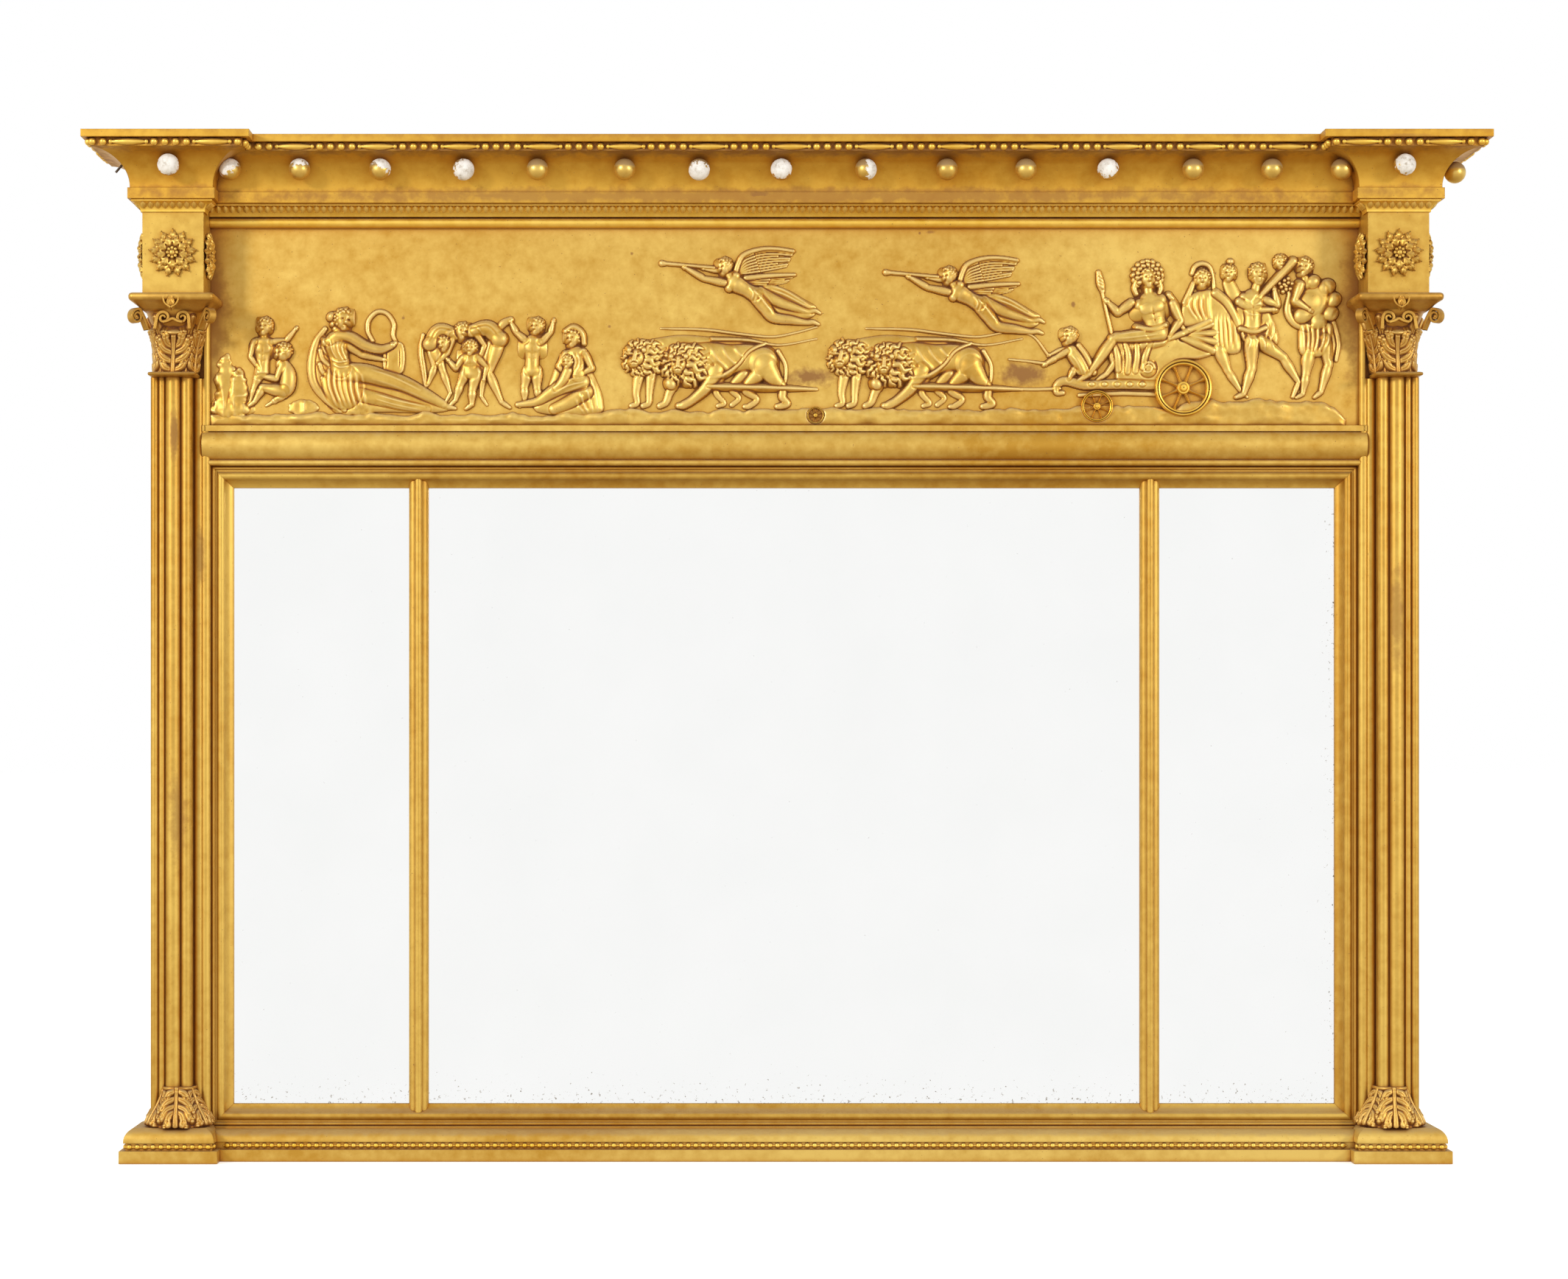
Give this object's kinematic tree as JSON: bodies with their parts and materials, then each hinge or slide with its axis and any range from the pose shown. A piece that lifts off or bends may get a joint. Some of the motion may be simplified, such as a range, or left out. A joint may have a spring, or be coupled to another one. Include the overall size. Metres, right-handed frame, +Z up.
{
  "type": "overmantel mirror",
  "caption": "Gilded overmantel mirror with a three-part glass, reeded side shafts, leaf capitals, a relief frieze and a breakfront cornice set with balls.",
  "frame": {"origin": "middle of the back lower edge, where the shelf meets the wall", "axes": "+X to the viewer's right across the front, +Y back into the wall, +Z up"},
  "size_m": [1.41, 0.1406, 1.04],
  "materials": {
    "gilt_wood": "leaf gilding over gesso, worn",
    "gilt_composition": "leaf gilding on moulded composition, worn",
    "pine": "bare aged softwood",
    "mirror_glass": "silvered flat glass",
    "iron": "dark wrought iron",
    "brass": "aged brass"
  },
  "bodies": {
    "frame": {"backboard_nails": "iron", "backboards": "pine", "ball_pins": "iron", "base_beading": "gilt_composition", "base_moulding": "gilt_wood", "bed_moulds": "gilt_wood", "block_left": "gilt_wood", "block_right": "gilt_wood", "bottom_rail": "pine", "capital_left": "gilt_composition", "capital_right": "gilt_composition", "chariot_wheels": "gilt_composition", "cornice_balls": "gilt_wood", "cornice_beading": "gilt_composition", "cornice_centre": "gilt_wood", "cornice_core_centre": "pine", "cornice_core_left": "pine", "cornice_core_right": "pine", "cornice_front_left": "gilt_wood", "cornice_front_right": "gilt_wood", "cornice_inner_return_left": "gilt_wood", "cornice_inner_return_right": "gilt_wood", "cornice_outer_return_left": "gilt_wood", "cornice_outer_return_right": "gilt_wood", "foot_leaf_left": "gilt_composition", "foot_leaf_right": "gilt_composition", "frieze_panel": "gilt_wood", "frieze_rail": "gilt_wood", "glazing_bar_left": "gilt_wood", "glazing_bar_right": "gilt_wood", "glazing_blocks": "pine", "hanger_screws": "brass", "hanger_straps": "brass", "middle_rail": "pine", "mirror_centre": "mirror_glass", "mirror_left": "mirror_glass", "mirror_right": "mirror_glass", "plinth_left": "gilt_wood", "plinth_right": "gilt_wood", "relief_chariot": "gilt_composition", "relief_dancers": "gilt_composition", "relief_followers": "gilt_composition", "relief_ground": "gilt_composition", "relief_lion_teams": "gilt_composition", "relief_music": "gilt_composition", "relief_winged_figures": "gilt_composition", "rosettes": "gilt_composition", "shaft_reeds_left": "gilt_wood", "shaft_reeds_right": "gilt_wood", "shaft_strip_left": "gilt_wood", "shaft_strip_right": "gilt_wood", "sight_moulding_bottom": "gilt_wood", "sight_moulding_left": "gilt_wood", "sight_moulding_right": "gilt_wood", "sight_moulding_top": "gilt_wood", "stile_left": "pine", "stile_right": "pine", "top_rail": "pine"},
    "left_ring": {"hanger_ring_left": "brass"},
    "right_ring": {"hanger_ring_right": "brass"}
  },
  "joints": [
    {"name": "left_ring_swing", "type": "hinge", "parent": "frame", "child": "left_ring", "pos_m": [-0.615, 0.0038, 0.8], "axis": [1, 0, 0], "range_deg": [0, 170]},
    {"name": "right_ring_swing", "type": "hinge", "parent": "frame", "child": "right_ring", "pos_m": [0.615, 0.0038, 0.8], "axis": [1, 0, 0], "range_deg": [0, 170]}
  ]
}
